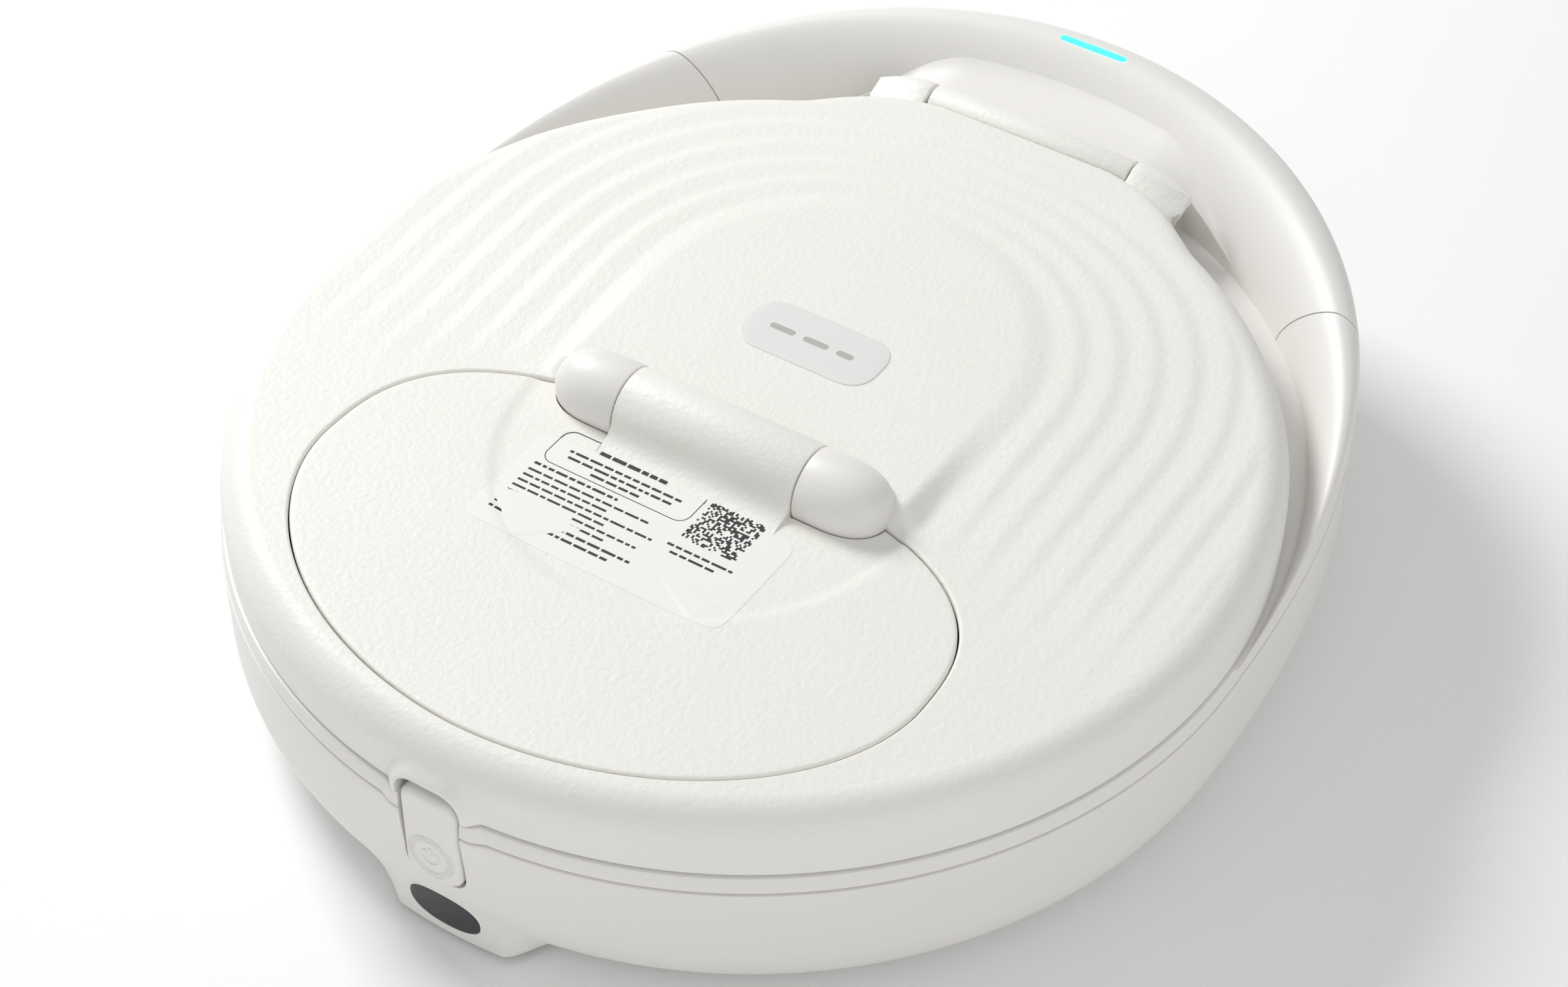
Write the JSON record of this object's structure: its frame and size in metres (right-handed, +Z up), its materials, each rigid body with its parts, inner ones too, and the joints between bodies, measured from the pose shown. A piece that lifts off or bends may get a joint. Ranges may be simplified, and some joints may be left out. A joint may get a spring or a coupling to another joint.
{
  "type": "automatic pet feeder",
  "caption": "Round white automatic pet feeder with a raised rear arch, hinged top cover, motorised feeding flap and a turning food tray",
  "frame": {"origin": "on the floor plane, under the middle of the feeder's outline", "axes": "+Z up from the resting face, front with the latch at -Y, raised rear arch at +Y, +X to the right seen from the front"},
  "size_m": [0.3252, 0.3844, 0.096],
  "materials": {
    "body_satin": "satin moulded ABS, off-white",
    "cover_grain": "fine spark-eroded grain, off-white ABS",
    "latch_satin": "smooth satin, off-white ABS",
    "badge_satin": "smooth satin plate, pale grey",
    "label_film": "matte printed film",
    "liner_plastic": "plain moulded plastic",
    "tray_plastic": "washable glossy plastic",
    "gear_plastic": "natural acetal",
    "bearing_plastic": "dark sliding bush",
    "black_plastic": "black moulded plastic",
    "window_dark": "dark glossy window",
    "light_diffuser": "lit cyan diffuser",
    "foot_rubber": "soft dark rubber",
    "seal_rubber": "grey silicone seal",
    "pin_steel": "ground steel",
    "screw_steel": "zinc plated",
    "motor_steel": "plated sheet steel",
    "heat_aluminium": "plain extruded",
    "cooling_ceramic": "white ceramic faces",
    "board_green": "solder-masked board"
  },
  "bodies": {
    "base": {"lower_shell": "body_satin", "bottom_plate": "body_satin", "rubber_feet": "foot_rubber", "bottom_screws": "screw_steel", "upper_housing": "body_satin", "arch_shoulders": "body_satin", "arch_cap": "body_satin", "rear_hinge_block": "body_satin", "rear_hinge_pin": "pin_steel", "light_bar": "light_diffuser", "light_board": "board_green", "display_window": "window_dark", "display_board": "board_green", "main_board": "board_green", "drive_motor": "motor_steel", "motor_bracket": "motor_steel", "spindle_bearing": "bearing_plastic", "latch_pocket": "body_satin", "latch_pin": "pin_steel", "latch_spring": "pin_steel", "power_jack": "black_plastic", "cold_plate": "heat_aluminium", "cooling_module": "cooling_ceramic", "heat_sink": "heat_aluminium", "fan_frame": "black_plastic", "rear_grille": "black_plastic", "food_well": "body_satin"},
    "cover": {"cover_shell": "cover_grain", "cover_liner": "liner_plastic", "cover_gasket": "seal_rubber", "cover_catch": "body_satin", "hinge_caps": "body_satin", "badge_plate": "badge_satin", "flap_hinge_pin": "pin_steel", "flap_motor": "motor_steel", "cover_screws": "screw_steel", "cover_skirt": "cover_grain", "gasket_carrier": "liner_plastic"},
    "flap": {"feeding_flap": "cover_grain", "flap_liner": "liner_plastic", "flap_seal": "seal_rubber", "flap_label": "label_film"},
    "latch": {"latch_button": "latch_satin"},
    "tray": {"turntable": "gear_plastic", "food_tray": "tray_plastic"},
    "pinion": {"motor_pinion": "gear_plastic"},
    "fan": {"fan_rotor": "black_plastic"}
  },
  "joints": [
    {"name": "cover_hinge", "type": "hinge", "parent": "base", "child": "cover", "pos_m": [0, 0.13715, 0.0785], "axis": [-1, 0, 0], "range_deg": [0, 75]},
    {"name": "flap_hinge", "type": "hinge", "parent": "cover", "child": "flap", "pos_m": [0, -0.04535, 0.0838], "axis": [-1, 0, 0], "range_deg": [0, 90]},
    {"name": "latch_press", "type": "hinge", "parent": "base", "child": "latch", "pos_m": [0, -0.18285, 0.048], "axis": [1, 0, 0], "range_deg": [0, 5], "stiffness_Nm_per_rad": 0.3},
    {"name": "tray_spin", "type": "hinge", "parent": "base", "child": "tray", "pos_m": [0, -0.02785, 0.03], "axis": [0, 0, 1], "continuous": true},
    {"name": "pinion_spin", "type": "hinge", "parent": "base", "child": "pinion", "pos_m": [-0.04229, -0.04324, 0.026], "axis": [0, 0, 1], "continuous": true},
    {"name": "fan_spin", "type": "hinge", "parent": "base", "child": "fan", "pos_m": [0, 0.15615, 0.031], "axis": [0, 1, 0], "continuous": true}
  ],
  "couplings": [
    {"joint": "pinion_spin", "follows": "tray_spin", "ratio": -4}
  ]
}
